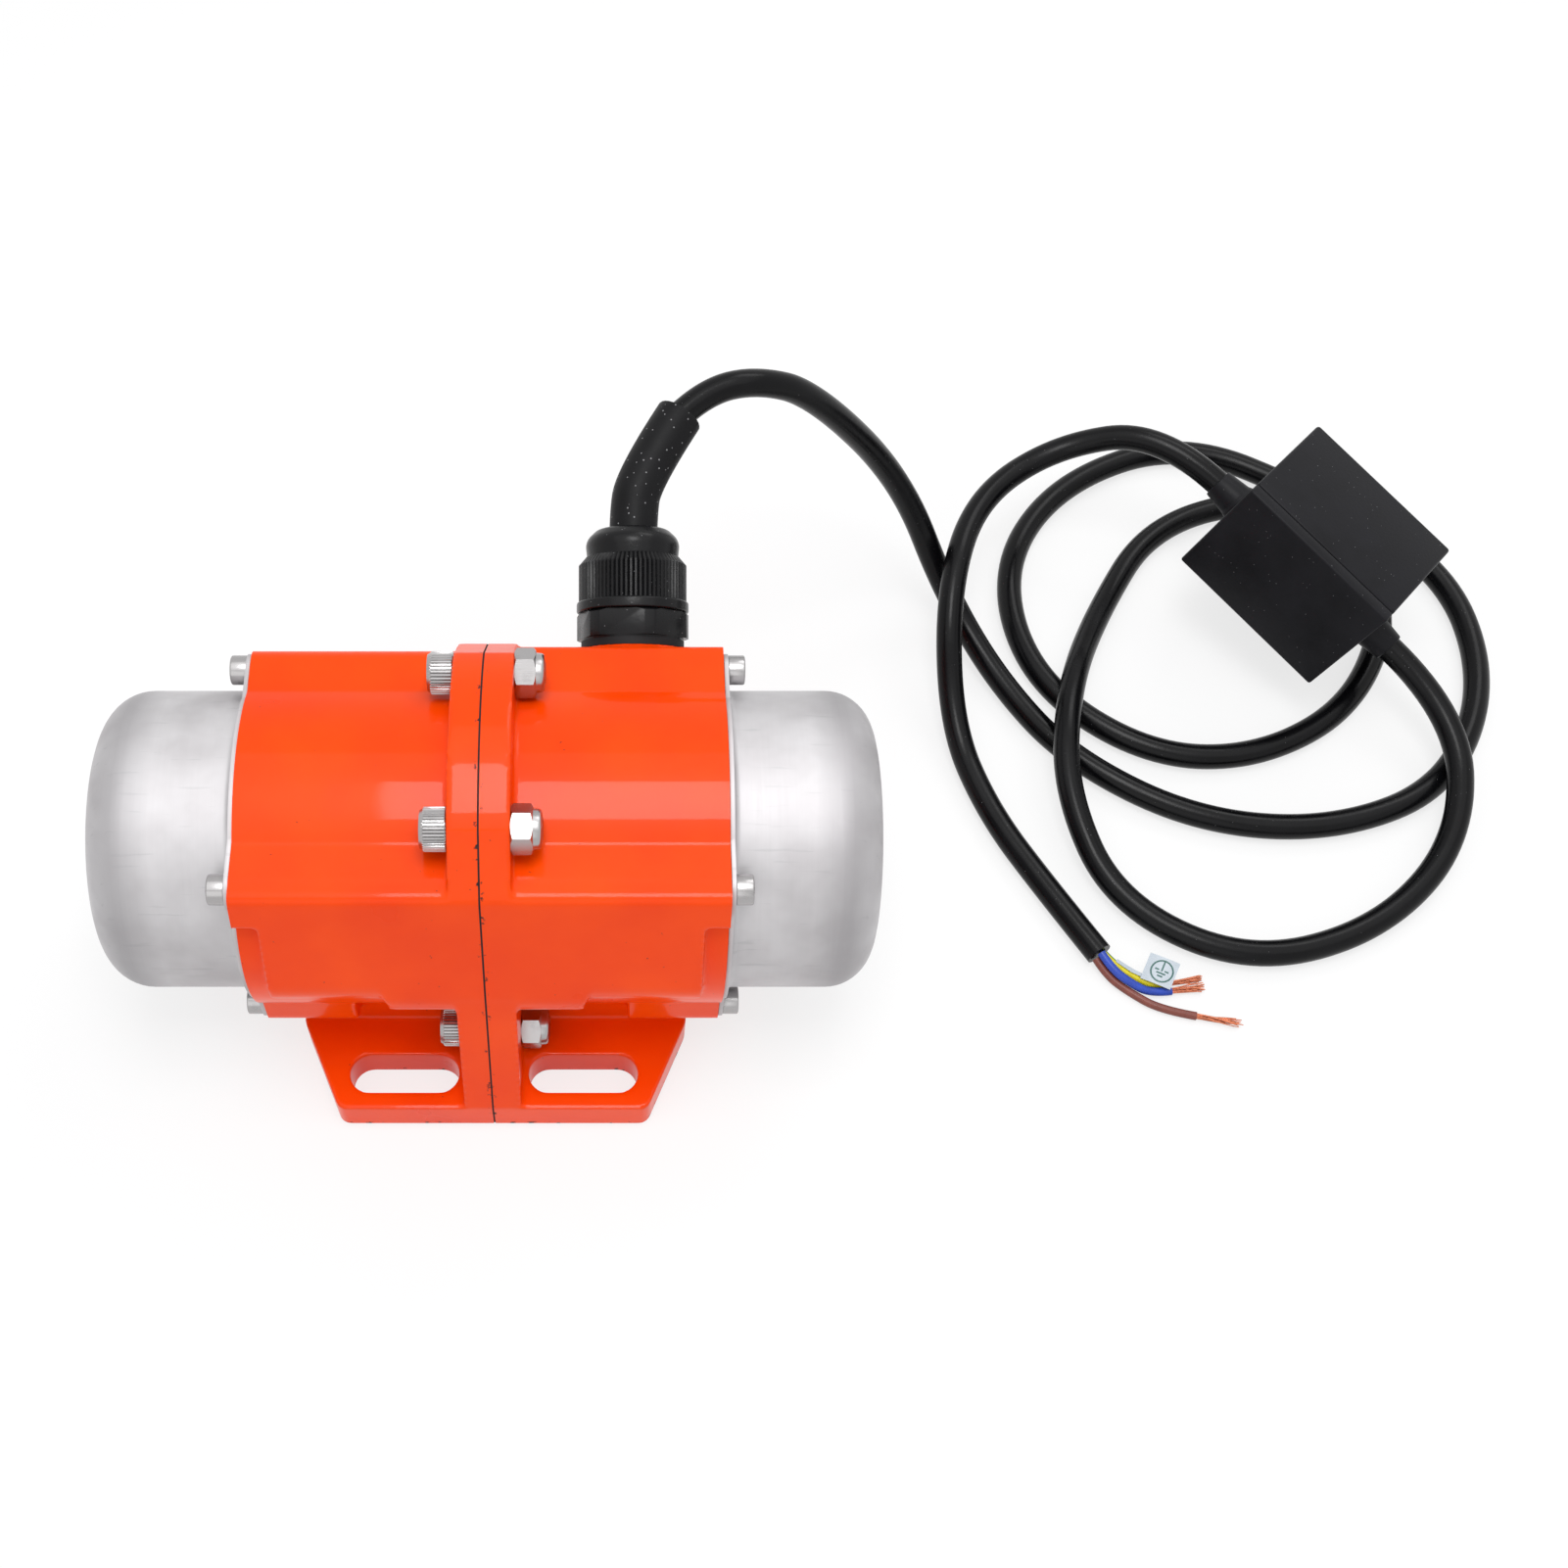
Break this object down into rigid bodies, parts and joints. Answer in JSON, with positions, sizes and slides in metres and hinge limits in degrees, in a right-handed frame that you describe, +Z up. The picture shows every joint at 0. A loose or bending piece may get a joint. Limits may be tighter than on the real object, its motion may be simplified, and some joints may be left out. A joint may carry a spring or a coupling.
{
  "type": "vibration motor",
  "caption": "Foot-mounted rotary vibration motor: split cast housing with centre flange, drawn end caps over eccentric weights, cable gland and lead with in-line capacitor box.",
  "frame": {"origin": "centre of the four mounting slots, on the underside of the base", "axes": "+X along the shaft towards the half with the cable gland, +Y towards the side the cable leaves from, +Z up out of the base"},
  "size_m": [0.3715, 0.2177, 0.1022],
  "materials": {
    "orange_paint": "gloss red-orange enamel on cast aluminium",
    "cap_sheet": "satin, drawn and lightly brushed",
    "stainless": "bright, machined",
    "shaft_steel": "ground",
    "bearing_steel": "polished",
    "spring_steel": "blued",
    "weight_steel": "sawn and zinc plated",
    "core_steel": "stacked sheet, varnished",
    "cage_aluminium": "cast",
    "winding_copper": "enamelled copper",
    "bare_copper": "bright stranded copper",
    "dark_gasket": "matt",
    "seal_rubber": "matt",
    "gland_nylon": "satin moulded nylon",
    "cable_jacket": "semi-matt flexible jacket",
    "sleeve_plastic": "semi-matt shrink sleeve",
    "box_plastic": "fine moulded texture",
    "capacitor_case": "smooth",
    "blue_insulation": "smooth insulation",
    "brown_insulation": "smooth insulation",
    "earth_insulation": "yellow with green stripe",
    "lead_insulation": "varnished glass sleeving",
    "tag_card": "thin printed film"
  },
  "bodies": {
    "motor": {"bearing_left_outer_ring": "bearing_steel", "bearing_preload_washer": "spring_steel", "bearing_right_outer_ring": "bearing_steel", "bearing_shim": "spring_steel", "blue_wire": "blue_insulation", "brown_wire": "brown_insulation", "cable_sleeve": "sleeve_plastic", "cap_gasket_left": "dark_gasket", "cap_gasket_right": "dark_gasket", "cap_screws_left": "stainless", "cap_screws_right": "stainless", "capacitor_box": "box_plastic", "capacitor_box_collars": "box_plastic", "capacitor_box_lid": "box_plastic", "copper_strands": "bare_copper", "earth_tag": "tag_card", "earth_wire": "earth_insulation", "end_cap_left": "cap_sheet", "end_cap_right": "cap_sheet", "gland_body": "gland_nylon", "gland_nut": "gland_nylon", "gland_seal": "seal_rubber", "gland_washer": "seal_rubber", "housing_bolts": "stainless", "housing_gasket": "dark_gasket", "housing_left": "orange_paint", "housing_nuts": "stainless", "housing_right": "orange_paint", "motor_cable": "cable_jacket", "motor_cable_entry": "cable_jacket", "run_capacitor": "capacitor_case", "stator_core": "core_steel", "stator_leads": "lead_insulation", "stator_windings": "winding_copper", "supply_cable": "cable_jacket"},
    "rotor": {"shaft": "shaft_steel", "rotor_core": "core_steel", "rotor_cage": "cage_aluminium", "weight_keys": "spring_steel", "shaft_snap_rings": "spring_steel", "fixed_weight_left": "weight_steel", "fixed_weight_right": "weight_steel", "bearing_left_inner_ring": "bearing_steel", "bearing_right_inner_ring": "bearing_steel"},
    "left_adjustable_weight": {"adjustable_weight_left": "weight_steel", "weight_set_screw_left": "spring_steel"},
    "right_adjustable_weight": {"adjustable_weight_right": "weight_steel", "weight_set_screw_right": "spring_steel"},
    "left_ball_set": {"bearing_left_balls": "bearing_steel", "bearing_left_cage": "spring_steel"},
    "right_ball_set": {"bearing_right_balls": "bearing_steel", "bearing_right_cage": "spring_steel"}
  },
  "joints": [
    {"name": "rotor_spin", "type": "hinge", "parent": "motor", "child": "rotor", "pos_m": [0, 0, 0.051], "axis": [1, 0, 0], "continuous": true},
    {"name": "left_weight_setting", "type": "hinge", "parent": "rotor", "child": "left_adjustable_weight", "pos_m": [0, 0, 0.051], "axis": [1, 0, 0], "range_deg": [0, 180]},
    {"name": "left_ball_set_roll", "type": "hinge", "parent": "motor", "child": "left_ball_set", "pos_m": [0, 0, 0.051], "axis": [1, 0, 0], "continuous": true},
    {"name": "right_weight_setting", "type": "hinge", "parent": "rotor", "child": "right_adjustable_weight", "pos_m": [0, 0, 0.051], "axis": [1, 0, 0], "range_deg": [0, 180]},
    {"name": "right_ball_set_roll", "type": "hinge", "parent": "motor", "child": "right_ball_set", "pos_m": [0, 0, 0.051], "axis": [1, 0, 0], "continuous": true}
  ],
  "couplings": [
    {"joint": "left_ball_set_roll", "follows": "rotor_spin", "ratio": 0.382},
    {"joint": "right_ball_set_roll", "follows": "rotor_spin", "ratio": 0.382}
  ]
}
